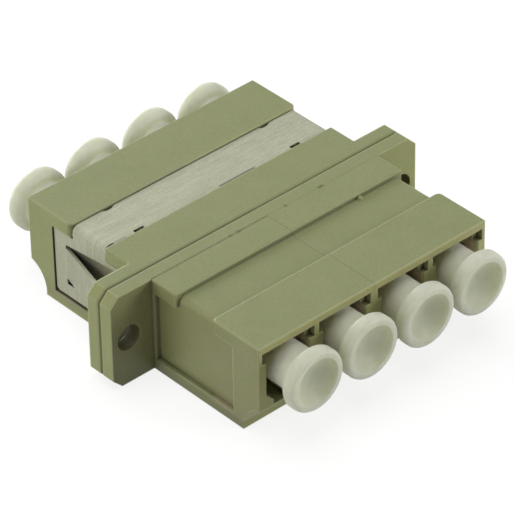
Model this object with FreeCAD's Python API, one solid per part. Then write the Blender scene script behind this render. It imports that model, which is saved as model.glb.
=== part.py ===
import FreeCAD
import Part
import math
import os

# Four port fibre adapter with its retaining clip, alignment sleeves and dust caps.
# All sizes are millimetres.  X runs along the row of ports, Y along the fibres and
# Z upwards.  The origin lies under the middle of the adapter, on its bottom plane,
# where the two moulded halves meet.

# Port layout
port_pitch = 6.25
centre_pitch = 6.55
plug_opening = 4.65
latch_slot_width = 3.36
latch_slot_height = 2.85
latch_entry_depth = 4.2
floor_wall = 0.75
roof_wall = 0.53
side_wall = 0.95
lead_in = 0.15
lower_corner = 0.65
lower_corner_rise = 0.4
web_thickness = 1.0
relief_depth = 0.6
relief_side = 0.55
relief_height = 1.08
relief_roof = 0.72

# Outer body of one half
clip_recess = 0.42
collar_length = 2.96
strip_recess_length = 4.41
block_length = 5.60
side_frame_length = 3.13
lip_height = 1.33
bottom_rim = 1.08
rear_rim = 0.34
core_corner_radius = 0.55
collar_corner_bevel = 0.12
block_corner_radius = 0.5
edge_bevel = 0.08
scoop_height = 2.88
scoop_depth = 1.94
scoop_radius = 2.5

# Flange
flange_plate = 1.46
hole_spacing = 30.8
hole_diameter = 2.4
hole_edge = 1.85
flange_chamfer = 0.92
seam_groove = 0.15

# Sleeves and their holders
sleeve_outer = 1.62
sleeve_wall = 0.187
sleeve_length = 6.8
sleeve_slot = 0.14
sleeve_clearance = 0.04
sleeve_end_clearance = 0.05
holder_wall = 0.64
holder_lip = 0.5
holder_lip_bore = 1.4

# Retaining clip
clip_thickness = 0.27
clip_bend_radius = 0.38
clip_side_clearance = 0.02
clip_edge_gap = 0.12
clip_bottom_gap = 0.25
plate_corner = 0.35
tongue_hinge = 1.45
tongue_bottom = 1.65
tongue_top = 1.5
tongue_angle = 14.5
tongue_reach = 6.1
tongue_bend_radius = 0.8
slit_width = 0.4
slit_spread = 0.7
front_notch_length = 1.1
front_notch_depth = 0.34
rear_notch_length = 1.25
rear_notch_depth = 0.26
notch_offset = 8.83

# Dust caps
cap_neck = 3.9
cap_fit = 0.06
cap_stem_gap = 0.9
cap_head = 6.0
cap_head_front = 3.28
cap_head_thickness = 0.8
cap_dish = 4.3
cap_dish_depth = 0.5

# Values that follow from the sizes above
port_x = [
    -centre_pitch / 2 - port_pitch,
    -centre_pitch / 2,
    centre_pitch / 2,
    centre_pitch / 2 + port_pitch,
]
body_half = port_x[3] + plug_opening / 2 + side_wall
core_half = body_half - clip_recess
slot_top = floor_wall + latch_slot_height
cavity_top = slot_top + plug_opening
core_top = cavity_top + roof_wall
body_height = core_top + clip_recess
axis_z = slot_top + plug_opening / 2
lip_z = body_height - lip_height
collar_end = flange_plate + collar_length
block_start = collar_end + strip_recess_length
half_length = block_start + block_length
frame_start = half_length - side_frame_length
flange_half = hole_spacing / 2 + hole_edge
sleeve_bore = sleeve_outer + 2 * sleeve_clearance
holder_outer = sleeve_bore + 2 * holder_wall
holder_room = sleeve_length / 2 + sleeve_end_clearance
holder_length = holder_room + holder_lip

AXIS_X = FreeCAD.Vector(1, 0, 0)
AXIS_Y = FreeCAD.Vector(0, 1, 0)
AXIS_Z = FreeCAD.Vector(0, 0, 1)


def vec(x, y, z):
    return FreeCAD.Vector(x, y, z)


def box(x0, x1, y0, y1, z0, z1):
    return Part.makeBox(x1 - x0, y1 - y0, z1 - z0, vec(x0, y0, z0))


def rod(radius, x, y0, y1, z):
    return Part.makeCylinder(radius, y1 - y0, vec(x, y0, z), AXIS_Y)


def prism(points, direction):
    wire = Part.makePolygon([vec(*p) for p in points + [points[0]]])
    return Part.Face(wire).extrude(direction)


def join(first, *others):
    return first.fuse(list(others)).removeSplitter()


def edges_at(shape, test, along=None):
    """Edges whose two ends pass the test, only those along one axis if it is named."""
    found = []
    for edge in shape.Edges:
        ends = [v.Point for v in edge.Vertexes]
        if len(ends) != 2 or not all(test(p) for p in ends):
            continue
        run = ends[1] - ends[0]
        if along is None or run.cross(along).Length < 1e-6:
            found.append(edge)
    return found


def near(a, b):
    return abs(a - b) < 1e-4


def flange_half_plate():
    """One flange plate with cut corners, screw holes and half of the seam groove."""
    w, h, c = flange_half, body_height, flange_chamfer
    outline = [
        (-w + c, 0, 0), (w - c, 0, 0), (w, 0, c), (w, 0, h - c),
        (w - c, 0, h), (-w + c, 0, h), (-w, 0, h - c), (-w, 0, c),
    ]
    plate = prism(outline, vec(0, flange_plate, 0))
    rim = edges_at(plate, lambda p: near(p.y, 0))
    plate = plate.makeChamfer(seam_groove, rim)
    for side in (-1, 1):
        hole = rod(hole_diameter / 2, side * hole_spacing / 2, -1, flange_plate + 1, body_height / 2)
        plate = plate.cut(hole)
    return plate


def collar():
    """Raised band beside the flange; its ends overhang the side recesses."""
    shape = box(-body_half, body_half, 0, collar_end, lip_z, body_height)
    corners = edges_at(shape, lambda p: near(p.y, collar_end) and near(abs(p.x), body_half), AXIS_Z)
    shape = shape.makeChamfer(collar_corner_bevel, corners)
    rim = [
        e for e in shape.Edges
        if e.BoundBox.ZMin > body_height - 1e-4 and e.BoundBox.YMax > edge_bevel
    ]
    return shape.makeChamfer(edge_bevel, rim)


def core():
    """Tube of the body as the clip sees it: recessed top and sides, rounded corners."""
    shape = box(-core_half, core_half, 0, half_length - 0.5, 0, core_top)
    corners = edges_at(shape, lambda p: near(p.z, core_top) and near(abs(p.x), core_half), AXIS_Y)
    return shape.makeFillet(core_corner_radius, corners)


def block():
    """Full size outer section with the side frames and the tabs over the recesses."""
    y0, y1, y2 = block_start, frame_start, half_length
    outline = [
        (-body_half, y0, body_height), (-body_half, y2, body_height), (-body_half, y2, 0),
        (-body_half, y1, 0), (-body_half, y1, lip_z), (-body_half, y0, lip_z),
    ]
    shape = prism(outline, vec(2 * body_half, 0, 0))
    corners = edges_at(shape, lambda p: near(p.y, y0) and near(abs(p.x), body_half), AXIS_Z)
    shape = shape.makeFillet(block_corner_radius, corners)
    rim = [e for e in shape.Edges if e.BoundBox.ZMin > body_height - 1e-4]
    rim += edges_at(shape, lambda p: near(p.y, y2) and near(abs(p.x), body_half), AXIS_Z)
    return shape.makeChamfer(edge_bevel, rim)


def side_rims():
    """Low rim under each side recess and the narrow rim beside the flange."""
    low = box(-body_half, body_half, 0, half_length - 0.5, 0, bottom_rim)
    tall = box(-body_half, body_half, 0, flange_plate + rear_rim, 0, body_height - lip_height / 2)
    return [low, tall]


def scoop():
    """Concave cut along the bottom edge of the port face."""
    axis_y = half_length - scoop_depth + scoop_radius
    drop = math.sqrt(scoop_radius ** 2 - (axis_y - half_length) ** 2)
    axis_h = scoop_height - drop
    width = 2 * body_half + 2
    arc = Part.makeCylinder(scoop_radius, width, vec(-width / 2, axis_y, axis_h), AXIS_X)
    below = box(-width / 2, width / 2, half_length - scoop_depth, half_length + 5, -1, axis_h)
    return arc.fuse(below)


def port_cuts(x):
    """Plug opening with its latch slot, latch room, top relief and lead-in of one port."""
    a = plug_opening / 2
    s = latch_slot_width / 2
    far = half_length + 1
    latch_back = half_length - latch_entry_depth
    shoulder = slot_top + lower_corner_rise
    slope_end = shoulder - lower_corner
    opening = prism(
        [
            (x - a, latch_back, cavity_top), (x - a, latch_back, shoulder),
            (x - s, latch_back, slope_end), (x - s, latch_back, floor_wall),
            (x + s, latch_back, floor_wall), (x + s, latch_back, slope_end),
            (x + a, latch_back, shoulder), (x + a, latch_back, cavity_top),
        ],
        vec(0, far - latch_back, 0),
    )
    latch_room = box(x - a, x + a, web_thickness, latch_back, floor_wall, cavity_top)
    cuts = [opening.fuse(latch_room)]
    r = a + relief_side
    roof = body_height - relief_roof
    face = half_length - relief_depth
    cuts.append(box(x - r, x + r, face, far, roof - relief_height, roof))
    for side in (-1, 1):
        lead = prism(
            [
                (x + side * a, half_length - lead_in, shoulder),
                (x + side * (a + lead_in), half_length, shoulder),
                (x + side * (a + lead_in), far, shoulder),
                (x + side * (a - lead_in), far, shoulder),
                (x + side * (a - lead_in), half_length - lead_in, shoulder),
            ],
            vec(0, 0, roof - relief_height / 2 - shoulder),
        )
        cuts.append(lead)
    return cuts


def sleeve_holder(x):
    """Tube that carries half of an alignment sleeve, standing on the web."""
    return rod(holder_outer / 2, x, web_thickness / 2, holder_length, axis_z)


def sleeve_bores(x):
    """Sleeve room and the smaller mouth that keeps the sleeve in."""
    room = rod(sleeve_bore / 2, x, -1, holder_room, axis_z)
    mouth = rod(holder_lip_bore / 2, x, -1, holder_length + 1, axis_z)
    return [room, mouth]


def half_housing():
    """One moulded half, port face towards +Y, seam plane at Y = 0."""
    body = join(flange_half_plate(), core(), collar(), block(), *side_rims())
    seam = box(-flange_half, flange_half, -5, 0, -1, body_height + 1)
    body = body.cut(seam)
    cuts = [scoop()]
    for x in port_x:
        cuts += port_cuts(x)
    body = body.cut(cuts)
    body = join(body, *[sleeve_holder(x) for x in port_x])
    bores = []
    for x in port_x:
        bores += sleeve_bores(x)
    body = body.cut(bores)
    groove = seam_groove
    for z, lift in ((0, 1), (body_height, -1)):
        edge = prism(
            [
                (-body_half - 1, -0.01, z - lift * 0.01),
                (-body_half - 1, groove, z - lift * 0.01),
                (-body_half - 1, -0.01, z + lift * groove),
            ],
            vec(2 * body_half + 2, 0, 0),
        )
        body = body.cut(edge)
    return body.removeSplitter()


def plate_blank(side):
    """One flat side plate of the clip with rounded lower corners."""
    x0 = core_half + clip_side_clearance
    y0 = flange_plate + rear_rim + clip_edge_gap
    y1 = frame_start - clip_edge_gap
    z0 = bottom_rim + clip_bottom_gap
    z1 = lip_z - clip_edge_gap
    plate = box(x0, x0 + clip_thickness, y0, y1, z0, z1)
    corners = edges_at(plate, lambda p: near(p.z, z0), AXIS_X)
    plate = plate.makeFillet(plate_corner, corners)
    if side < 0:
        plate = plate.mirror(vec(0, 0, 0), AXIS_X)
    return plate


def strip_saddle():
    """Bent band over the top, reaching down into both side plates."""
    y0 = collar_end + clip_edge_gap / 2
    y1 = block_start - clip_edge_gap
    low = lip_z - 2 * clip_edge_gap - plate_corner
    inner_half = core_half + clip_side_clearance
    outer_half = inner_half + clip_thickness
    outer = box(-outer_half, outer_half, y0, y1, low, core_top + clip_thickness)
    outer_top = core_top + clip_thickness
    top = edges_at(outer, lambda p: near(abs(p.x), outer_half) and near(p.z, outer_top), AXIS_Y)
    outer = outer.makeFillet(clip_bend_radius + clip_thickness, top)
    inner = box(-inner_half, inner_half, y0 - 1, y1 + 1, low - 1, core_top)
    top = edges_at(inner, lambda p: near(abs(p.x), inner_half) and near(p.z, core_top), AXIS_Y)
    inner = inner.makeFillet(clip_bend_radius, top)
    return outer.cut(inner)


def tongue_outline(x0, hinge_y, angle, length, radius):
    """Bent tongue seen from above, hinge at its rear, free end towards the flange."""
    t = clip_thickness
    a = math.radians(angle)
    cx, cy = x0 + t + radius, hinge_y

    def on_arc(r, fraction):
        return vec(cx - r * math.cos(a * fraction), cy - r * math.sin(a * fraction), 0)

    run = vec(math.sin(a), -math.cos(a), 0)
    inner_arc = Part.Arc(on_arc(radius + t, 0), on_arc(radius + t, 0.5), on_arc(radius + t, 1))
    outer_arc = Part.Arc(on_arc(radius, 1), on_arc(radius, 0.5), on_arc(radius, 0))
    p1 = on_arc(radius + t, 1)
    p2 = p1 + run * length
    p4 = on_arc(radius, 1)
    p3 = p4 + run * length
    root = 0.3
    edges = [
        Part.LineSegment(vec(x0, hinge_y + root, 0), on_arc(radius + t, 0)).toShape(),
        inner_arc.toShape(),
        Part.LineSegment(p1, p2).toShape(),
        Part.LineSegment(p2, p3).toShape(),
        Part.LineSegment(p3, p4).toShape(),
        outer_arc.toShape(),
        Part.LineSegment(on_arc(radius, 0), vec(x0 + t, hinge_y + root, 0)).toShape(),
        Part.LineSegment(vec(x0 + t, hinge_y + root, 0), vec(x0, hinge_y + root, 0)).toShape(),
    ]
    return Part.Wire(edges)


def tongue(side):
    """Spring tongue bent out of one side plate, and the window it leaves."""
    x0 = core_half + clip_side_clearance
    plate_back = frame_start - clip_edge_gap
    hinge = plate_back - tongue_hinge
    z0 = bottom_rim + clip_bottom_gap + tongue_bottom
    z1 = lip_z - clip_edge_gap - tongue_top
    front = hinge - tongue_reach - slit_width
    wire = tongue_outline(x0, hinge, tongue_angle, tongue_reach, tongue_bend_radius)
    blade = Part.Face(wire).extrude(vec(0, 0, z1 - z0))
    blade.translate(vec(0, 0, z0))
    window = prism(
        [
            (x0 - 1, hinge, z0 - slit_width),
            (x0 - 1, hinge, z1 + slit_width),
            (x0 - 1, front, z1 + slit_width + slit_spread),
            (x0 - 1, front, z0 - slit_width),
        ],
        vec(clip_thickness + 2, 0, 0),
    )
    if side < 0:
        blade = blade.mirror(vec(0, 0, 0), AXIS_X)
        window = window.mirror(vec(0, 0, 0), AXIS_X)
    return blade, window


def clip_notches():
    """Straight notches on the collar side, shallow curved ones on the block side."""
    front = collar_end + clip_edge_gap / 2
    rear = block_start - clip_edge_gap
    lift = core_top - 1
    cuts = []
    half = rear_notch_length / 2
    radius = (half ** 2 + rear_notch_depth ** 2) / (2 * rear_notch_depth)
    for side in (-1, 1):
        x = side * notch_offset
        cuts.append(
            box(
                x - front_notch_length / 2, x + front_notch_length / 2,
                front - 1, front + front_notch_depth, lift, lift + 3,
            )
        )
        centre = vec(x, rear + radius - rear_notch_depth, lift)
        cuts.append(Part.makeCylinder(radius, 3, centre, AXIS_Z))
    return cuts


def retaining_clip():
    """Stamped spring sheet: top strip, two side plates, two tongues."""
    body = join(strip_saddle(), plate_blank(-1), plate_blank(1))
    blades = []
    for side in (-1, 1):
        blade, window = tongue(side)
        body = body.cut(window)
        blades.append(blade)
    body = body.cut(clip_notches())
    return join(body, *blades)


def alignment_sleeve(x):
    """Slotted tube; it stands against the lip of the front half's holder."""
    start = -holder_room
    outer = rod(sleeve_outer / 2, x, start, start + sleeve_length, axis_z)
    inner = rod(sleeve_outer / 2 - sleeve_wall, x, start - 1, start + sleeve_length + 1, axis_z)
    slot = box(
        x - sleeve_slot / 2, x + sleeve_slot / 2, start - 1, start + sleeve_length + 1,
        axis_z, axis_z + sleeve_outer,
    )
    return outer.cut([inner, slot])


def dust_cap(x, facing):
    """Turned shape: hollow stem, neck and a dished mushroom head."""
    seat = holder_length
    stem_end = web_thickness + cap_stem_gap
    bore = holder_outer / 2 + cap_fit
    neck = cap_neck / 2
    head = cap_head / 2
    face = half_length + cap_head_front
    back = face - cap_head_thickness
    dish = cap_dish / 2
    profile = [
        (0, seat),
        (bore, seat),
        (bore, stem_end),
        (neck, stem_end),
        (neck, back),
        (head, back),
        (dish, face),
        (dish, face - cap_dish_depth),
        (0, face - cap_dish_depth),
    ]
    points = [vec(r, y, 0) for r, y in profile]
    outline = Part.makePolygon(points + [points[0]])
    shape = Part.Face(outline).revolve(vec(0, 0, 0), AXIS_Y, 360)
    if shape.Volume < 0:
        shape.reverse()
    if facing < 0:
        shape.rotate(vec(0, 0, 0), AXIS_Z, 180)
    shape.translate(vec(x, 0, axis_z))
    return shape


def main():
    os.makedirs("parts", exist_ok=True)
    front = half_housing()
    front.rotate(vec(0, 0, 0), AXIS_Z, 180)
    pieces = {
        "housing_front": front,
        "housing_rear": half_housing(),
        "retaining_clip": retaining_clip(),
    }
    for number, x in enumerate(port_x, 1):
        pieces["alignment_sleeve_%d" % number] = alignment_sleeve(x)
        pieces["dust_cap_front_%d" % number] = dust_cap(x, -1)
        pieces["dust_cap_rear_%d" % number] = dust_cap(x, 1)
    for name, shape in pieces.items():
        solids = shape.Solids
        print(
            "%-22s solids %d valid %s volume %8.2f faces %4d"
            % (name, len(solids), shape.isValid(), shape.Volume, len(shape.Faces))
        )
        if len(solids) == 1:
            shape = solids[0]
        shape.exportStep("parts/%s.step" % name)


main()
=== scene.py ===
import math

import bpy
from mathutils import Matrix, Vector


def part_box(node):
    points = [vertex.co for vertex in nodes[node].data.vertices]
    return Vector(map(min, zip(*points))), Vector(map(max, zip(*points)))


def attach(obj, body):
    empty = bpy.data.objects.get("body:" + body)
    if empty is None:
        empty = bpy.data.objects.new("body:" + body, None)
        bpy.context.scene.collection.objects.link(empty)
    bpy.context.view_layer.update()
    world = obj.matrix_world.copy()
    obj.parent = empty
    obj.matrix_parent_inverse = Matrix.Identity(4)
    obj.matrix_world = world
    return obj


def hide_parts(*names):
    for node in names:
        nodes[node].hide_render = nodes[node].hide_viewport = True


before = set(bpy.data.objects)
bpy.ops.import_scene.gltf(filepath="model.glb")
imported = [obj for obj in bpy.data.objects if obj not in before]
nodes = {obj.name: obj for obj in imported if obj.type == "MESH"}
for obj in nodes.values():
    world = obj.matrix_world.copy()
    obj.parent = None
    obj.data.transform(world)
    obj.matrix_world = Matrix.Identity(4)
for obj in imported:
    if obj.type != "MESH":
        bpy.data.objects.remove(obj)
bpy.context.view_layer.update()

MM = 0.001


def end_mm(name, axis):
    """Upper end of a node's box along an axis, in millimetres."""
    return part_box(name)[1][axis] / MM


def middle(name):
    """X and Z of the middle of a node's box, in metres."""
    low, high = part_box(name)
    return (low[0] + high[0]) / 2, (low[2] + high[2]) / 2


# Node helpers

def new_material(name):
    mat = bpy.data.materials.new(name)
    mat.use_nodes = True
    tree = mat.node_tree
    tree.nodes.clear()
    out = tree.nodes.new("ShaderNodeOutputMaterial")
    shader = tree.nodes.new("ShaderNodeBsdfPrincipled")
    tree.links.new(shader.outputs["BSDF"], out.inputs["Surface"])
    return mat, tree, shader


def set_inputs(shader, values):
    for name, value in values.items():
        shader.inputs[name].default_value = value


def math_node(tree, operation, a, b=None, clamp=False):
    n = tree.nodes.new("ShaderNodeMath")
    n.operation = operation
    n.use_clamp = clamp
    for socket, value in ((n.inputs[0], a), (n.inputs[1], b)):
        if value is None:
            continue
        if isinstance(value, (int, float)):
            socket.default_value = value
        else:
            tree.links.new(value, socket)
    return n.outputs[0]


def add(tree, a, b, clamp=False):
    return math_node(tree, "ADD", a, b, clamp)


def minus(tree, a, b, clamp=False):
    return math_node(tree, "SUBTRACT", a, b, clamp)


def times(tree, first, *others, clamp=False):
    """Product of all the values, held between 0 and 1 at the end if clamp is set."""
    product = first
    for other in others[:-1]:
        product = math_node(tree, "MULTIPLY", product, other)
    return math_node(tree, "MULTIPLY", product, others[-1], clamp)


def over(tree, value, limit):
    return math_node(tree, "GREATER_THAN", value, limit)


def under(tree, value, limit):
    return math_node(tree, "LESS_THAN", value, limit)


def absolute(tree, value):
    return math_node(tree, "ABSOLUTE", value)


def inverse(tree, mask):
    return minus(tree, 1.0, mask, clamp=True)


def strongest(tree, masks):
    result = masks[0]
    for mask in masks[1:]:
        result = math_node(tree, "MAXIMUM", result, mask)
    return result


def squares(tree, a, b):
    """Square of the length of a and b taken at right angles."""
    return add(tree, times(tree, a, a), times(tree, b, b))


def falling(tree, start, value, run):
    """0 where value is start or more, rising to 1 as it falls by run."""
    return math_node(tree, "DIVIDE", minus(tree, start, value), run, clamp=True)


def band(tree, value, centre, half_width):
    """1 at centre, falling to 0 at half_width to either side."""
    off = absolute(tree, minus(tree, value, centre))
    return inverse(tree, math_node(tree, "DIVIDE", off, half_width))


def plateau(tree, value, centre, half_width, steepness):
    """A band that is widened to a flat 1 in its middle."""
    return times(tree, band(tree, value, centre, half_width), steepness, clamp=True)


def object_mm(tree, scale=(1, 1, 1)):
    """Object coordinates in millimetres, stretched by scale."""
    coord = tree.nodes.new("ShaderNodeTexCoord")
    mapping = tree.nodes.new("ShaderNodeMapping")
    mapping.inputs["Scale"].default_value = [s / MM for s in scale]
    tree.links.new(coord.outputs["Object"], mapping.inputs["Vector"])
    return mapping.outputs["Vector"]


def split(tree, vector):
    parts = tree.nodes.new("ShaderNodeSeparateXYZ")
    tree.links.new(vector, parts.inputs["Vector"])
    return parts.outputs["X"], parts.outputs["Y"], parts.outputs["Z"]


def facing(tree, kind="Normal"):
    """X, Y and Z parts of the surface's own normal."""
    return split(tree, tree.nodes.new("ShaderNodeNewGeometry").outputs[kind])


def noise(tree, vector, scale, detail=3.0, roughness=0.6):
    n = tree.nodes.new("ShaderNodeTexNoise")
    set_inputs(n, {"Scale": scale, "Detail": detail, "Roughness": roughness})
    tree.links.new(vector, n.inputs["Vector"])
    return n.outputs["Fac"]


def ramp(tree, fac, stops):
    """Colour from (place, colour) stops; a number for the colour is a grey."""
    n = tree.nodes.new("ShaderNodeValToRGB")
    while len(n.color_ramp.elements) < len(stops):
        n.color_ramp.elements.new(0.5)
    for element, (at, colour) in zip(n.color_ramp.elements, stops):
        rgb = (colour,) * 3 if isinstance(colour, float) else colour
        element.position = at
        element.color = tuple(rgb) + (1.0,)
    tree.links.new(fac, n.inputs["Fac"])
    return n.outputs["Color"]


def mix_colour(tree, fac, a, b, blend="MIX"):
    n = tree.nodes.new("ShaderNodeMix")
    n.data_type = "RGBA"
    n.blend_type = blend
    factor, first, second = n.inputs[0], n.inputs[6], n.inputs[7]
    for socket, value in ((factor, fac), (first, a), (second, b)):
        if isinstance(value, (int, float)):
            socket.default_value = value
        elif isinstance(value, (tuple, list)):
            socket.default_value = tuple(value) + (1.0,)
        else:
            tree.links.new(value, socket)
    return n.outputs[2]


def paint(tree, base, mask, colour, strength=1.0):
    """The base colour, with colour over it where mask is 1, as far as strength lets it."""
    if strength < 1.0:
        mask = times(tree, mask, strength)
    return mix_colour(tree, mask, base, colour)


def tint(tree, base, mask, factors):
    """The base colour, multiplied by factors where mask is 1."""
    return mix_colour(tree, mask, base, factors, "MULTIPLY")


def bump(tree, height, strength, distance, normal=None):
    n = tree.nodes.new("ShaderNodeBump")
    set_inputs(n, {"Strength": strength, "Distance": distance})
    tree.links.new(height, n.inputs["Height"])
    if normal is not None:
        tree.links.new(normal, n.inputs["Normal"])
    return n.outputs["Normal"]


def edge_mask(tree, radius):
    """Bevelled normal, and a mask that is high where it leaves the true normal."""
    bevel = tree.nodes.new("ShaderNodeBevel")
    bevel.samples = 6
    bevel.inputs["Radius"].default_value = radius
    geo = tree.nodes.new("ShaderNodeNewGeometry")
    dot = tree.nodes.new("ShaderNodeVectorMath")
    dot.operation = "DOT_PRODUCT"
    tree.links.new(bevel.outputs["Normal"], dot.inputs[0])
    tree.links.new(geo.outputs["Normal"], dot.inputs[1])
    gain = 8.0
    mask = times(tree, inverse(tree, dot.outputs["Value"]), gain, clamp=True)
    return bevel.outputs["Normal"], mask


def crease(tree, reach, low, high, local=True):
    """0 on open faces, rising to 1 in grooves narrower than reach; other pieces count unless local."""
    occlusion = tree.nodes.new("ShaderNodeAmbientOcclusion")
    occlusion.samples = 8
    occlusion.only_local = local
    occlusion.inputs["Distance"].default_value = reach
    span = tree.nodes.new("ShaderNodeMapRange")
    set_inputs(span, {"From Min": high, "From Max": low})
    tree.links.new(occlusion.outputs["AO"], span.inputs["Value"])
    return span.outputs["Result"]


# Moulded plastic: places are millimetres in the part's frame, colours are linear

TOP = end_mm("housing_front", 2)
PORT_MOUTH = end_mm("housing_rear", 1)
BODY_START = 1.5
PAST_BODY_X = 12.8
COLLAR_MIDDLE = 3.0
COLLAR_HALF = 1.45
COLLAR_TOP = TOP - 0.05
CORE_TOP = TOP - 0.7
FLANGE_PLATE = 1.46
FLANGE_FACE_Y = -2.0
HOLE_X = 15.4
HOLE_Z = 4.6
HOLE_RADIUS = 1.24
HOLE_FADE = 1.25
PORT_FACE_Y = 0.93 - PORT_MOUTH
PORT_MIDDLE = 11.4
PORT_HALF = 2.85
PORT_FLOOR = 0.75
PORT_RELIEF = 7.12
LOW_SIDE = 1.8
WALL_BEHIND_CLIP = 12.0
SHEET_MIDDLE = 4.4
SHEET_HALF = 4.2
SHADE_START = 9.0
SHADE_RUN = 5.5
SEAM_MIDDLE = 0.08
SEAM_HALF = 0.30
WITNESS_X = 0.05
WITNESS_HALF = 0.055
WITNESS_RAGGED = 0.05
JOINT_HALF = 0.14
NICK_HALF = 0.24
# Shares of the full strength of each mark at the places named
EDGE_HIGHLIGHT_ON_COLLAR = 0.30
# Shares of the painted shade in the corners, on sides and on tops
CORNER_SHADE_ON_SIDES = 0.55
CORNER_SHADE_ON_TOPS = 0.15
IN_RELIEFS = 0.35
JOINT_LEFT = 0.94
JOINT_RIGHT = 0.22
WITNESS_STRENGTH = 0.55
# Middle and half length of the open places in the line where flange plate and collar meet
JOINT_NICKS = ((-4.1, 0.20), (-3.15, 0.42), (2.1, 0.16), (6.1, 0.45))

PLASTIC = ((0.30, (0.258, 0.284, 0.124)), (0.52, (0.269, 0.295, 0.131)), (0.72, (0.280, 0.303, 0.140)))
PLASTIC_BLOTCH = ((0.35, (0.985, 1.01, 0.97)), (0.65, (1.02, 0.99, 1.03)))
PLASTIC_SPECK = ((0.30, (0.87, 0.87, 0.85)), (0.58, 1.0), (0.78, 1.09))
# Colour of the painted highlight on the edges
PLASTIC_EDGE_HIGHLIGHT = (0.52, 0.53, 0.30)
# Colour of the painted shade in the corners
CORNER_SHADE = (0.105, 0.090, 0.048)
# Colour of the painted shade in narrow grooves
GROOVE_SHADE = (0.070, 0.066, 0.026)
LINE_DIRT = (0.085, 0.080, 0.022)
# Colour of the painted shade along the seam groove between the two halves
SEAM_SHADE = (0.120, 0.125, 0.048)
# Colour of the painted light on the shaded walls inside the ports
PORT_WALL_LIGHT = (0.53, 0.425, 0.310)
CLIP_SHADE_DEEP = (0.070, 0.062, 0.044)
CLIP_SHADE_OPEN = (0.380, 0.352, 0.262)
# Tints of painted light and shade, by the way a face looks
SIDES_SHADE_TINT = (1.02, 0.97, 0.94)
PORT_FACE_LIGHT_TINT = (1.42, 1.34, 1.36)
FLANGE_LEFT_SHADE_TINT = (0.83, 0.80, 0.86)
FLANGE_RIGHT_LIGHT_TINT = (1.18, 1.20, 1.08)
REAR_LEFT_LIGHT_TINT = (1.20, 1.24, 1.18)
SLOPE_SHADE_TINT = (1.0, 0.95, 0.92)
LOW_SIDE_SHADE_TINT = (0.70, 0.70, 0.74)
# Tints of the painted shade inside the flange holes, at the front and at the back
HOLE_FRONT_SHADE = (0.42, 0.37, 0.34)
HOLE_BACK_SHADE = (0.85, 0.78, 0.86)


def moulded_colour(tree, at):
    """Faint flow clouds and blotches, with the fine specks of a spark texture."""
    base = ramp(tree, noise(tree, at, scale=0.35, detail=4, roughness=0.55), PLASTIC)
    base = tint(tree, base, 1.0, ramp(tree, noise(tree, at, scale=1.3), PLASTIC_BLOTCH))
    return tint(tree, base, 1.0, ramp(tree, noise(tree, at, scale=8.0), PLASTIC_SPECK))


def facing_light_and_shade(tree, base, place, normal):
    """Painted light and shade by the way each face looks: browner sides and slopes, a lighter port face, a
    shaded left and a lit right flange face, lighter rear left sides and darker low left sides.
    """
    x, y, z = place
    across, along, up = normal
    forward = times(tree, along, -1.0, clamp=True)
    leftward = times(tree, across, -1.0, clamp=True)
    base = tint(tree, base, inverse(tree, times(tree, up, 1.0, clamp=True)), SIDES_SHADE_TINT)
    port_face = times(tree, forward, under(tree, y, PORT_FACE_Y), over(tree, z, PORT_FLOOR))
    base = tint(tree, base, port_face, PORT_FACE_LIGHT_TINT)
    end_tint = mix_colour(tree, over(tree, x, 0.0), FLANGE_LEFT_SHADE_TINT, FLANGE_RIGHT_LIGHT_TINT)
    base = tint(tree, base, times(tree, forward, over(tree, y, FLANGE_FACE_Y)), end_tint)
    base = tint(tree, base, times(tree, leftward, over(tree, y, -BODY_START)), REAR_LEFT_LIGHT_TINT)
    base = tint(tree, base, times(tree, across, up, -2.0, clamp=True), SLOPE_SHADE_TINT)
    low_side = times(tree, leftward, under(tree, y, -BODY_START), band(tree, z, 0.0, LOW_SIDE))
    return tint(tree, base, low_side, LOW_SIDE_SHADE_TINT)


def highlit_edges(tree, base, edges, tight, y):
    """Painted highlight on the edges, less of it on the collars, and none inside grooves."""
    on_collar = plateau(tree, absolute(tree, y), COLLAR_MIDDLE, COLLAR_HALF, steepness=6.0)
    strength = inverse(tree, times(tree, on_collar, 1 - EDGE_HIGHLIGHT_ON_COLLAR))
    edge_highlight = times(tree, edges, inverse(tree, tight), strength)
    return paint(tree, base, edge_highlight, PLASTIC_EDGE_HIGHLIGHT, strength=0.85)


def shaded_corners(tree, base, up):
    """Painted shade in the corners, less of it on faces that look up."""
    upward = times(tree, up, 1.0, clamp=True)
    strength = minus(tree, CORNER_SHADE_ON_SIDES, times(tree, upward, CORNER_SHADE_ON_SIDES - CORNER_SHADE_ON_TOPS))
    corner = crease(tree, reach=1.2 * MM, low=0.30, high=0.80)
    return paint(tree, base, times(tree, corner, strength), CORNER_SHADE)


def lit_port_walls(tree, base, y, z):
    """Painted light, light brown, on the shaded walls inside the ports, fainter in the reliefs at their tops.
    """
    inside = plateau(tree, absolute(tree, y), PORT_MIDDLE, PORT_HALF, steepness=20.0)
    covered = crease(tree, reach=3.5 * MM, low=0.10, high=0.78, local=False)
    below = times(tree, under(tree, z, PORT_RELIEF), 1 - IN_RELIEFS)
    strength = add(tree, below, IN_RELIEFS)
    mask = times(tree, inside, covered, strength, over(tree, z, PORT_FLOOR))
    return paint(tree, base, mask, PORT_WALL_LIGHT)


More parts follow.
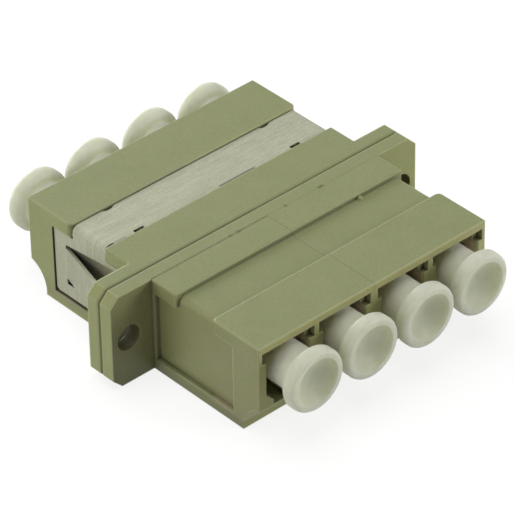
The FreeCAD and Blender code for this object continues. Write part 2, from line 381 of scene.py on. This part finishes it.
def behind_clip(tree, base, x, y, z):
    """Shade on the walls behind the clip's side plates, deepest away from the flange."""
    out = absolute(tree, x)
    wall = times(tree, over(tree, out, WALL_BEHIND_CLIP), under(tree, out, PAST_BODY_X))
    covered = crease(tree, reach=2.5 * MM, low=0.45, high=0.95, local=False)
    height = band(tree, z, SHEET_MIDDLE, SHEET_HALF)
    gain = 3.0
    mask = times(tree, wall, over(tree, y, BODY_START), covered, height, gain, clamp=True)
    near_flange = falling(tree, SHADE_START, y, SHADE_RUN)
    return paint(tree, base, mask, mix_colour(tree, near_flange, CLIP_SHADE_DEEP, CLIP_SHADE_OPEN))


def shaded_flange_holes(tree, base, x, y, z):
    """Painted shade on the walls inside the two holes of the flange, most at the front."""
    from_axis = squares(tree, minus(tree, absolute(tree, x), HOLE_X), minus(tree, z, HOLE_Z))
    deep = add(tree, times(tree, y, 1 / HOLE_FADE), 0.5, clamp=True)
    hole_shade = mix_colour(tree, deep, HOLE_FRONT_SHADE, HOLE_BACK_SHADE)
    return tint(tree, base, under(tree, from_axis, HOLE_RADIUS ** 2), hole_shade)


def witness_line(tree, at, x, y, z):
    """The fine line that the mould's halves left along the top of the front half."""
    ragged = times(tree, minus(tree, noise(tree, at, scale=0.9), 0.5), WITNESS_RAGGED)
    line = band(tree, add(tree, x, ragged), WITNESS_X, WITNESS_HALF)
    top = times(tree, over(tree, z, CORE_TOP), under(tree, y, -BODY_START))
    return times(tree, line, top, WITNESS_STRENGTH)


def joint_line(tree, x, y, z):
    """The uneven line where the flange plate meets the front collar, stronger on the left."""
    uneven = ramp(tree, noise(tree, object_mm(tree, (0.9, 0.0, 0.0)), scale=1.0), ((0.35, 0.60), (0.60, 1.0)))
    strength = add(tree, times(tree, under(tree, x, WITNESS_X), JOINT_LEFT - JOINT_RIGHT), JOINT_RIGHT)
    line = times(tree, band(tree, y, -FLANGE_PLATE, JOINT_HALF), strength, uneven)
    nicks = strongest(tree, [plateau(tree, x, at, half, steepness=1.6) for at, half in JOINT_NICKS])
    nicks = times(tree, nicks, band(tree, y, -FLANGE_PLATE, NICK_HALF))
    top = times(tree, over(tree, z, COLLAR_TOP), under(tree, absolute(tree, x), PAST_BODY_X))
    return times(tree, strongest(tree, [line, nicks]), top)


def housing_material():
    """Satin moulded plastic: spark texture and faint flow clouds, with painted highlights on the edges and
    painted light and shade on faces, corners, grooves and ports.
    """
    mat, tree, shader = new_material("housing_plastic")
    at = object_mm(tree)
    x, y, z = split(tree, at)
    normal = facing(tree)
    bevelled, edges = edge_mask(tree, 0.22 * MM)
    # Mask of narrow grooves: painted shade goes there, and no painted highlight
    tight = crease(tree, reach=0.32 * MM, low=0.50, high=0.88)
    # Painted light and shade on the faces, by the way each one looks
    base = facing_light_and_shade(tree, moulded_colour(tree, at), (x, y, z), normal)
    # Painted highlight on the edges
    base = highlit_edges(tree, base, edges, tight, y)
    # Painted shade in the corners
    base = shaded_corners(tree, base, normal[2])
    # Painted light on the shaded walls inside the ports
    base = lit_port_walls(tree, base, y, z)
    base = behind_clip(tree, base, x, y, z)
    # Painted shade inside the flange holes
    base = shaded_flange_holes(tree, base, x, y, z)
    # Painted shade in the narrow grooves
    base = paint(tree, base, tight, GROOVE_SHADE, strength=0.75)
    lines = add(tree, witness_line(tree, at, x, y, z), joint_line(tree, x, y, z), clamp=True)
    base = paint(tree, base, lines, LINE_DIRT)
    # Painted shade along the seam groove between the two halves
    base = paint(tree, base, band(tree, y, SEAM_MIDDLE, SEAM_HALF), SEAM_SHADE, strength=0.55)
    tree.links.new(base, shader.inputs["Base Color"])
    rough = ramp(tree, noise(tree, at, scale=3.0), ((0.3, 0.42), (0.7, 0.54)))
    tree.links.new(rough, shader.inputs["Roughness"])
    height = add(tree, noise(tree, at, scale=12.0, roughness=0.65), times(tree, lines, -2.0))
    relief = bump(tree, height, strength=0.30, distance=0.012 * MM, normal=bevelled)
    tree.links.new(relief, shader.inputs["Normal"])
    set_inputs(shader, {
        "IOR": 1.5,
        "Specular IOR Level": 0.38,
        "Subsurface Weight": 0.10,
        "Subsurface Scale": 0.30 * MM,
        "Subsurface Radius": (1.0, 1.0, 0.5),
    })
    return mat


# Retaining clip

STRIP_FRONT = 4.60
STRIP_TOP = TOP - 0.6
STRIP_EDGE_Z = TOP - 1.2
GAP_HALF = 0.15
SLIT_TOP = 3.8
SLIT_RIM_Z = 2.93
SLIT_RIM_HALF = 0.20
SLIT_MIDDLE_Y = 9.25
SLIT_HALF = 0.60
# Least part of the normal along an axis, for a face that counts as looking that way
FACES_THERE = 0.9
FACES_MOSTLY_THERE = 0.7
FACES_SQUARELY_THERE = 0.99
# Middle, half length and strength of the places where the gap before the strip shows as painted shade
STRIP_GAPS = ((-12.1, 0.46, 1.0), (-11.2, 0.95, 0.35), (2.1, 2.2, 0.68))

STEEL = ((0.34, (0.330, 0.336, 0.246)), (0.50, (0.386, 0.396, 0.294)), (0.64, (0.440, 0.450, 0.342)))
STEEL_STAIN = ((0.34, (0.96, 0.955, 0.94)), (0.62, 1.0))
STEEL_GRAIN = ((0.30, (0.88, 0.87, 0.85)), (0.55, 1.0), (0.75, 1.10))
# Colour of the painted highlight on the clip's edges
STEEL_EDGE_HIGHLIGHT = (0.52, 0.525, 0.42)
# Colour of the painted shade in the clip's narrow grooves
STEEL_GROOVE_SHADE = (0.09, 0.08, 0.055)
# Colour of the painted shade of the gap along the strip
STRIP_GAP_SHADE = (0.03, 0.028, 0.018)
# Colour of the painted shade in the slits under the tongues
SLIT_SHADE = (0.02, 0.018, 0.012)
# Painted light on the flat side plates
FLAT_SIDE_LIGHT = (1.15, 1.15, 1.13)


def strip_gap_shade(tree, base, x, y, z, along):
    """Painted shade of the gap along the strip: on its cut faces in torn lengths, and at a few places of its
    front edge.
    """
    torn = ramp(tree, noise(tree, object_mm(tree, (0.5, 0.0, 0.0)), scale=1.0), ((0.44, 0.25), (0.56, 1.0)))
    on_cut = times(tree, over(tree, absolute(tree, along), FACES_THERE), over(tree, z, STRIP_EDGE_Z), torn)
    base = paint(tree, base, on_cut, STRIP_GAP_SHADE)
    places = []
    for at, half_length, strength in STRIP_GAPS:
        length = plateau(tree, x, at, half_length, steepness=6.0)
        places.append(times(tree, length, strength))
    front = plateau(tree, y, STRIP_FRONT, GAP_HALF, steepness=1.6)
    gap = times(tree, strongest(tree, places), front, over(tree, z, STRIP_TOP))
    return paint(tree, base, gap, STRIP_GAP_SHADE)


def tongue_slit_shade(tree, base, y, z, up):
    """Painted shade on the cut faces of the slit under each tongue, and along an edge that widens it a
    little.
    """
    cut = times(tree, over(tree, absolute(tree, up), FACES_MOSTLY_THERE), under(tree, z, SLIT_TOP))
    rim = plateau(tree, z, SLIT_RIM_Z, SLIT_RIM_HALF, steepness=4.0)
    length = plateau(tree, y, SLIT_MIDDLE_Y, SLIT_HALF, steepness=3.0)
    return paint(tree, base, strongest(tree, [cut, times(tree, rim, length)]), SLIT_SHADE)


def clip_material():
    """Spring sheet brushed along the strip, so the lines turn down over both bends."""
    mat, tree, shader = new_material("spring_steel")
    at = object_mm(tree)
    x, y, z = split(tree, at)
    across, along, up = facing(tree, "True Normal")
    bevelled, edges = edge_mask(tree, 0.05 * MM)
    short = noise(tree, object_mm(tree, (0.55, 5.5, 0.55)), scale=1.0, detail=4, roughness=0.65)
    long = noise(tree, object_mm(tree, (0.16, 3.0, 0.16)), scale=1.0, detail=4)
    lines = add(tree, times(tree, short, 0.55), times(tree, long, 0.45))
    grain = noise(tree, at, scale=6.0, roughness=0.7)
    base = ramp(tree, lines, STEEL)
    base = tint(tree, base, 1.0, ramp(tree, noise(tree, at, scale=0.55, detail=4), STEEL_STAIN))
    base = tint(tree, base, 1.0, ramp(tree, grain, STEEL_GRAIN))
    # Painted shade in the narrow grooves
    tight = crease(tree, reach=0.25 * MM, low=0.45, high=0.80)
    base = paint(tree, base, tight, STEEL_GROOVE_SHADE, strength=0.5)
    # Painted highlight on the edges
    base = paint(tree, base, edges, STEEL_EDGE_HIGHLIGHT, strength=0.35)
    # Painted shade of the gap along the strip
    base = strip_gap_shade(tree, base, x, y, z, along)
    # Painted shade in the slits under the tongues
    base = tongue_slit_shade(tree, base, y, z, up)
    # Painted light on the flat side plates, the faces that look straight out along X
    base = tint(tree, base, over(tree, times(tree, across, -1.0), FACES_SQUARELY_THERE), FLAT_SIDE_LIGHT)
    tree.links.new(base, shader.inputs["Base Color"])
    rough = ramp(tree, lines, ((0.3, 0.54), (0.7, 0.68)))
    tree.links.new(rough, shader.inputs["Roughness"])
    height = add(tree, lines, times(tree, grain, 0.5))
    relief = bump(tree, height, strength=0.5, distance=0.008 * MM, normal=bevelled)
    tree.links.new(relief, shader.inputs["Normal"])
    set_inputs(shader, {"Metallic": 0.45, "Specular IOR Level": 0.3})
    return mat


# Milky plastic of the dust caps, with places from the middle of the adapter

PORT_X = [middle("dust_cap_front_%d" % number)[0] / MM for number in (3, 4)]
PORT_Z = middle("dust_cap_front_3")[1] / MM
BETWEEN_PORTS = sum(PORT_X) / 2
CAP_END = end_mm("dust_cap_rear_1", 1)
HEAD_START = CAP_END - 1.11
BOWL_START = CAP_END - 1.01
BOWL_RADIUS = 1.5
BOWL_LOOKS_IN = -0.25
NECK_END = CAP_END - 1.71
BACK_START = CAP_END - 0.91
BACK_RUN = 0.5
FOLD_MIDDLE = CAP_END - 1.66
FOLD_HALF = 0.50
THIN_WALL_END = 4.4
THIN_WALL_RUN = 0.8

MILKY = ((0.3, (0.620, 0.640, 0.510)), (0.7, (0.670, 0.688, 0.560)))
MILKY_MOTTLE = ((0.35, (0.97, 0.965, 0.95)), (0.65, 1.02))
# Colour of the painted highlight on the caps' edges
MILKY_EDGE_HIGHLIGHT = (0.74, 0.76, 0.64)
# Colour of the painted shade in the hollows of the heads
MILKY_HOLLOW_SHADE = (0.38, 0.39, 0.28)
# Painted shade in the bowl of each head
BOWL_SHADE = (0.92, 0.92, 0.85)
NECK_SHADE_TINT = (1.03, 0.985, 1.07)
THIN_WALL_TINT = (1.06, 1.10, 0.78)
# Painted light on the necks and backs of the heads, on front and rear caps, and in the fold behind the rear
# heads
FRONT_BACK_LIGHT = (1.15, 1.15, 1.12)
REAR_BACK_LIGHT = (1.08, 1.07, 1.13)
REAR_FOLD_LIGHT = (1.13, 1.12, 1.18)


def bowl_mask(tree, x, z, along, across, up):
    """1 in the bowl of each head: near the port's axis, or where the surface looks towards it."""
    inner = under(tree, absolute(tree, x), BETWEEN_PORTS)
    axis_x = minus(tree, PORT_X[1], times(tree, inner, PORT_X[1] - PORT_X[0]))
    axis_x = times(tree, axis_x, math_node(tree, "SIGN", x))
    off_x = minus(tree, x, axis_x)
    off_z = minus(tree, z, PORT_Z)
    near_axis = under(tree, squares(tree, off_x, off_z), BOWL_RADIUS ** 2)
    outward = add(tree, times(tree, off_x, across), times(tree, off_z, up))
    looks_in = under(tree, outward, BOWL_LOOKS_IN)
    return times(tree, strongest(tree, [near_axis, looks_in]), over(tree, along, BOWL_START))


def cap_material():
    """Milky soft polyethylene: light passes a little way in, surface slightly waxy."""
    mat, tree, shader = new_material("cap_plastic")
    at = object_mm(tree)
    x, y, z = split(tree, at)
    across, _, up = facing(tree)
    bevelled, edges = edge_mask(tree, 0.10 * MM)
    along = absolute(tree, y)
    rear = over(tree, y, 0.0)
    base = ramp(tree, noise(tree, at, scale=0.6, roughness=0.5), MILKY)
    base = tint(tree, base, 1.0, ramp(tree, noise(tree, at, scale=2.2), MILKY_MOTTLE))
    # Painted highlight on the edges
    base = paint(tree, base, edges, MILKY_EDGE_HIGHLIGHT, strength=0.15)
    # Painted shade in the hollows of the heads
    hollow_shade = times(tree, crease(tree, reach=1.6 * MM, low=0.35, high=0.90), over(tree, along, HEAD_START))
    base = paint(tree, base, hollow_shade, MILKY_HOLLOW_SHADE, strength=0.50)
    # Painted shade in the bowl of each head
    base = tint(tree, base, bowl_mask(tree, x, z, along, across, up), BOWL_SHADE)
    covered = crease(tree, reach=3.0 * MM, low=0.25, high=0.90, local=False)
    base = tint(tree, base, times(tree, covered, under(tree, along, NECK_END)), NECK_SHADE_TINT)
    base = tint(tree, base, falling(tree, THIN_WALL_END, along, THIN_WALL_RUN), THIN_WALL_TINT)
    # Painted light on the necks and backs of the heads, and in the fold behind the rear heads
    back_light = mix_colour(tree, rear, FRONT_BACK_LIGHT, REAR_BACK_LIGHT)
    base = tint(tree, base, falling(tree, BACK_START, along, BACK_RUN), back_light)
    base = tint(tree, base, times(tree, band(tree, along, FOLD_MIDDLE, FOLD_HALF), rear), REAR_FOLD_LIGHT)
    tree.links.new(base, shader.inputs["Base Color"])
    rough = ramp(tree, noise(tree, at, scale=2.5), ((0.3, 0.46), (0.7, 0.58)))
    tree.links.new(rough, shader.inputs["Roughness"])
    relief = bump(tree, noise(tree, at, scale=5.0), strength=0.25, distance=0.014 * MM, normal=bevelled)
    tree.links.new(relief, shader.inputs["Normal"])
    set_inputs(shader, {
        "IOR": 1.51,
        "Specular IOR Level": 0.35,
        "Subsurface Weight": 1.0,
        "Subsurface Scale": 2.6 * MM,
        "Subsurface Radius": (1.0, 1.0, 0.8),
        "Transmission Weight": 0.10,
    })
    return mat


# Ceramic of the sleeves

CERAMIC = ((0.3, (0.78, 0.78, 0.75)), (0.7, (0.86, 0.86, 0.84)))


def sleeve_material():
    """Ground ceramic, off white, with faint turning rings."""
    mat, tree, shader = new_material("sleeve_ceramic")
    rings = noise(tree, object_mm(tree, (0.3, 6.0, 0.3)), scale=3.0)
    tree.links.new(ramp(tree, rings, CERAMIC), shader.inputs["Base Color"])
    tree.links.new(ramp(tree, rings, ((0.3, 0.22), (0.7, 0.32))), shader.inputs["Roughness"])
    tree.links.new(bump(tree, rings, strength=0.15, distance=0.003 * MM), shader.inputs["Normal"])
    return mat


housing = housing_material()
cap = cap_material()
# Material of each kind of node, by the start of its name
MATERIALS = {
    "housing": housing,
    "retaining": clip_material(),
    "dust_cap": cap,
    "alignment": sleeve_material(),
}
for name, obj in nodes.items():
    for start, material in MATERIALS.items():
        if name.startswith(start):
            obj.data.materials.clear()
            obj.data.materials.append(material)


# Mesh helpers

def add_object(name, verts, faces):
    mesh = bpy.data.meshes.new(name)
    mesh.from_pydata(verts, [], faces)
    mesh.update()
    obj = bpy.data.objects.new(name, mesh)
    bpy.context.scene.collection.objects.link(obj)
    return obj


def ring(centre, radius, segments, point):
    """Points round a circle, each made by point(u, v); one point where the radius is 0."""
    if radius == 0:
        return [point(*centre)]
    angles = [2 * math.pi * i / segments for i in range(segments)]
    return [point(centre[0] + radius * math.cos(a), centre[1] + radius * math.sin(a)) for a in angles]


def skin(rings, flip):
    """Points of all the rings, and faces between each ring and the next."""
    verts, faces, marks = [], [], []
    for points in rings:
        marks.append(range(len(verts), len(verts) + len(points)))
        verts.extend(points)
    for a, b in zip(marks, marks[1:]):
        segments = max(len(a), len(b))
        for i in range(segments):
            j = (i + 1) % segments
            corners = [a[i % len(a)], a[j % len(a)], b[j % len(b)], b[i % len(b)]]
            corners = list(dict.fromkeys(corners))
            faces.append(corners[::-1] if flip else corners)
    return verts, faces


# Dust caps, turned on a finer profile than the solids, in millimetres

CAP_SEGMENTS = 72
CAP_NECK = 1.95
CAP_BORE = 1.55
CAP_BORE_FLOOR = 13.76
CAP_STEM_CHAMFER = 0.15
CAP_BORE_CHAMFER = 0.08
CAP_HEAD = 2.90
CAP_HEAD_THICK = 1.02
CAP_EDGE_WIDTH = 0.26
CAP_EDGE_START = 0.03
CAP_FLANK_START = 0.50
CAP_DISH = 2.13
CAP_DISH_DEPTH = 0.95
CAP_LIP_WIDTH = 0.10
CAP_LIP_DEPTH = 0.08
CAP_SHOULDER = 0.30
CAP_SHOULDER_DEPTH = 0.48
CAP_TAPER_DEPTH = 0.85
# How far each head leans off its port's axis, along X and Z
CAP_LEAN = {
    "front": ((0.23, 0.0), (0.10, 0.05), (-0.04, -0.12), (-0.12, -0.04)),
    "rear": ((-0.10, 0.15), (-0.21, 0.23), (-0.27, 0.30), (-0.16, -0.03)),
}


def arc(a, b, bulge, steps):
    """Points after a up to b on a curve that swells sideways by bulge, both in (radius, depth)."""
    mid = ((a[0] + b[0]) / 2, (a[1] + b[1]) / 2)
    run = (b[0] - a[0], b[1] - a[1])
    length = math.hypot(*run)
    pull = (mid[0] - run[1] / length * bulge * 2, mid[1] + run[0] / length * bulge * 2)
    points = []
    for i in range(1, steps + 1):
        t = i / steps
        points.append(tuple((1 - t) ** 2 * a[k] + 2 * t * (1 - t) * pull[k] + t * t * b[k] for k in (0, 1)))
    return points


def cap_profile(length):
    """(radius, depth behind the front ring), from the dish's middle round to the bore's floor."""
    p = [(0.0, CAP_DISH_DEPTH)]
    p += arc(p[-1], (CAP_DISH, CAP_LIP_DEPTH), bulge=0.17, steps=16)
    p += arc(p[-1], (CAP_DISH + CAP_LIP_WIDTH, 0.0), bulge=-0.022, steps=5)
    p += arc(p[-1], (CAP_HEAD - CAP_EDGE_WIDTH, CAP_EDGE_START), bulge=-0.005, steps=4)
    p += arc(p[-1], (CAP_HEAD, CAP_FLANK_START), bulge=-0.085, steps=10)
    p += [(CAP_HEAD, CAP_HEAD_THICK)]
    p += arc(p[-1], (CAP_NECK + CAP_SHOULDER, CAP_HEAD_THICK + CAP_SHOULDER_DEPTH), bulge=-0.11, steps=8)
    p += arc(p[-1], (CAP_NECK, CAP_HEAD_THICK + CAP_TAPER_DEPTH), bulge=0.10, steps=8)
    p += [(CAP_NECK, length * 0.55), (CAP_NECK, length - CAP_STEM_CHAMFER)]
    p += arc(p[-1], (CAP_NECK - CAP_STEM_CHAMFER, length), bulge=-0.04, steps=4)
    p += [(CAP_BORE + CAP_BORE_CHAMFER, length), (CAP_BORE, length - CAP_BORE_CHAMFER)]
    p += [(CAP_BORE, CAP_BORE_FLOOR), (0.0, CAP_BORE_FLOOR)]
    return p


def fine_cap(side, number):
    """One cap, turned about a line that starts along its port's axis and leans off at the head."""
    low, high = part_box("dust_cap_%s_%d" % (side, number))
    outward = 1 if side == "rear" else -1
    front = high[1] if outward > 0 else low[1]
    length = (high[1] - low[1]) / MM
    lean = CAP_LEAN[side][number - 1]
    axis = middle("dust_cap_%s_%d" % (side, number))
    rings = []
    for radius, depth in cap_profile(length):
        y = front - outward * depth * MM
        out = (1 - depth / length) * MM
        centre = (axis[0] + lean[0] * out, axis[1] + lean[1] * out)
        rings.append(ring(centre, radius * MM, CAP_SEGMENTS, lambda u, v: (u, y, v)))
    obj = add_object("fine_cap_%s_%d" % (side, number), *skin(rings, flip=outward < 0))
    for polygon in obj.data.polygons:
        polygon.use_smooth = True
    obj.data.materials.append(cap)
    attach(obj, "cap_%s_%d" % (side, number))
    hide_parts("dust_cap_%s_%d" % (side, number))


for side in ("front", "rear"):
    for number in range(1, 5):
        fine_cap(side, number)


# Gate stub left on the front half, in the corner under the collar, in millimetres

STUB_X = 7.70
STUB_Y = -4.62
STUB_BELOW_TOP = 0.42
STUB_SEGMENTS = 24
# Radius and drop below the step it stands on, from its tip down
STUB_PROFILE = ((0.0, -0.26), (0.10, -0.25), (0.19, -0.20), (0.24, -0.12), (0.26, 0.0), (0.27, 0.10))


def gate_stub():
    step_z = (TOP - STUB_BELOW_TOP) * MM
    rings = []
    for radius, drop in STUB_PROFILE:
        z = step_z - drop * MM
        rings.append(ring((STUB_X, STUB_Y), radius, STUB_SEGMENTS, lambda u, v: (u * MM, v * MM, z)))
    verts, faces = skin(rings, flip=True)
    foot = range(len(verts) - STUB_SEGMENTS, len(verts))
    faces.append(list(foot)[::-1])
    obj = add_object("gate_stub", verts, faces)
    for polygon in obj.data.polygons:
        polygon.use_smooth = len(polygon.vertices) <= 4
    obj.data.materials.append(housing)
    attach(obj, "adapter")


gate_stub()


# Floor and surroundings, in metres unless said otherwise

FLOOR_HALF = 3.0
FLOOR_DROP = 0.02 * MM
FLOOR_TONE = ((0.3, (0.66, 0.66, 0.655)), (0.7, (0.70, 0.70, 0.695)))
FLOOR_SHOWN = (0.30, 0.30, 0.30, 1)
# Glow of the shown floor, near and far, and the distances in mm between which it rises
FLOOR_GLOW = (0.80, 1.0)
GLOW_RISE = (120.0, 600.0)
WHITE = (1, 1, 1, 1)
WORLD_LIGHT = (1.0, 1.0, 0.99, 1)
WORLD_LIGHT_STRENGTH = 0.01
# Name, place, side and power in watts
LAMPS = (
    ("overhead", (0.0, 0.048, 0.56), 0.48, 1.54),
    ("left_rear", (-0.48, 0.224, 0.16), 0.29, 0.78),
    ("left", (-0.48, -0.064, 0.192), 0.32, 0.38),
    ("right_front", (0.352, -0.448, 0.16), 0.26, 1.78),
    ("rear_low", (0.08, 0.512, 0.128), 0.32, 2.26),
)
LAMP_AIM = (0, 0, 4 * MM)


def seen_rays(tree):
    """1 for the rays that show a surface: straight to the camera, in a gloss, or through the caps."""
    path = tree.nodes.new("ShaderNodeLightPath")
    rays = ("Is Camera Ray", "Is Glossy Ray", "Is Transmission Ray")
    return strongest(tree, [path.outputs[kind] for kind in rays])


def shown_or_lit(tree, out, lit, shown):
    """Gives the output shown for the rays that show a surface, and lit for all others."""
    choose = tree.nodes.new("ShaderNodeMixShader")
    tree.links.new(seen_rays(tree), choose.inputs["Fac"])
    tree.links.new(lit, choose.inputs[1])
    tree.links.new(shown, choose.inputs[2])
    tree.links.new(choose.outputs["Shader"], out.inputs["Surface"])


def floor_glow(tree, at):
    """White glow that is full far from the object, so that the horizon is white too."""
    span = tree.nodes.new("ShaderNodeVectorMath")
    span.operation = "LENGTH"
    tree.links.new(at, span.inputs[0])
    rise = tree.nodes.new("ShaderNodeMapRange")
    set_inputs(rise, {"From Min": GLOW_RISE[0], "From Max": GLOW_RISE[1]})
    set_inputs(rise, {"To Min": FLOOR_GLOW[0], "To Max": FLOOR_GLOW[1]})
    tree.links.new(span.outputs["Value"], rise.inputs["Value"])
    glow = tree.nodes.new("ShaderNodeEmission")
    glow.inputs["Color"].default_value = WHITE
    tree.links.new(rise.outputs["Result"], glow.inputs["Strength"])
    return glow.outputs["Emission"]


def floor():
    """Pale floor: it lights the object from below as paint does, and shows white with a soft shadow."""
    corners = [(-1, -1), (1, -1), (1, 1), (-1, 1)]
    verts = [(u * FLOOR_HALF, v * FLOOR_HALF, -FLOOR_DROP) for u, v in corners]
    obj = add_object("floor", verts, [(0, 1, 2, 3)])
    mat, tree, shader = new_material("floor_white")
    shader.inputs["Roughness"].default_value = 0.9
    at = object_mm(tree)
    tone = ramp(tree, noise(tree, at, scale=0.05, detail=2, roughness=0.5), FLOOR_TONE)
    tree.links.new(tone, shader.inputs["Base Color"])
    pale = tree.nodes.new("ShaderNodeBsdfDiffuse")
    pale.inputs["Color"].default_value = FLOOR_SHOWN
    shown = tree.nodes.new("ShaderNodeAddShader")
    tree.links.new(pale.outputs["BSDF"], shown.inputs[0])
    tree.links.new(floor_glow(tree, at), shown.inputs[1])
    out = next(n for n in tree.nodes if n.type == "OUTPUT_MATERIAL")
    shown_or_lit(tree, out, shader.outputs["BSDF"], shown.outputs["Shader"])
    obj.data.materials.append(mat)


def background(tree, colour, strength):
    n = tree.nodes.new("ShaderNodeBackground")
    set_inputs(n, {"Color": colour, "Strength": strength})
    return n.outputs["Background"]


def surroundings():
    """World that shows white and gives the object almost no light of its own."""
    world = bpy.data.worlds.new("studio")
    world.use_nodes = True
    tree = world.node_tree
    tree.nodes.clear()
    out = tree.nodes.new("ShaderNodeOutputWorld")
    lit = background(tree, WORLD_LIGHT, WORLD_LIGHT_STRENGTH)
    shown_or_lit(tree, out, lit, background(tree, WHITE, 1.0))
    bpy.context.scene.world = world


def area_light(name, place, side, power):
    data = bpy.data.lights.new(name, "AREA")
    data.shape = "RECTANGLE"
    data.size = side
    data.size_y = side
    data.energy = power
    obj = bpy.data.objects.new(name, data)
    obj.location = place
    obj.rotation_euler = (Vector(LAMP_AIM) - Vector(place)).to_track_quat("-Z", "Y").to_euler()
    bpy.context.scene.collection.objects.link(obj)


floor()
surroundings()
for lamp in LAMPS:
    area_light(*lamp)


# Camera, placed as the photograph was taken; the sensor's width is in mm, the distance in metres

AZIMUTH = math.radians(-41.558)
ELEVATION = math.radians(36.562)
ROLL = math.radians(-1.157)
DISTANCE = 0.3301
TARGET = Vector((0, 0, 4.5 * MM))
PHOTO_PX = 515
FOCAL_PX = 3914.4
CENTRE_PX = (256.09, 253.59)
SENSOR_WIDTH = 36.0


def camera():
    back = Vector((
        math.sin(AZIMUTH) * math.cos(ELEVATION),
        -math.cos(AZIMUTH) * math.cos(ELEVATION),
        math.sin(ELEVATION),
    ))
    right = Vector((math.cos(AZIMUTH), math.sin(AZIMUTH), 0))
    up = back.cross(right)
    rolled_right = right * math.cos(ROLL) + up * math.sin(ROLL)
    rolled_up = -right * math.sin(ROLL) + up * math.cos(ROLL)
    data = bpy.data.cameras.new("camera")
    data.sensor_width = SENSOR_WIDTH
    data.lens = FOCAL_PX * SENSOR_WIDTH / PHOTO_PX
    data.shift_x = (PHOTO_PX / 2 - CENTRE_PX[0]) / PHOTO_PX
    data.shift_y = (CENTRE_PX[1] - PHOTO_PX / 2) / PHOTO_PX
    data.clip_start = 0.01
    data.clip_end = 20
    obj = bpy.data.objects.new("camera", data)
    pose = Matrix((rolled_right, rolled_up, back)).transposed().to_4x4()
    pose.translation = TARGET + back * DISTANCE
    obj.matrix_world = pose
    bpy.context.scene.collection.objects.link(obj)
    bpy.context.scene.camera = obj


camera()
bpy.context.scene.view_settings.view_transform = "Standard"
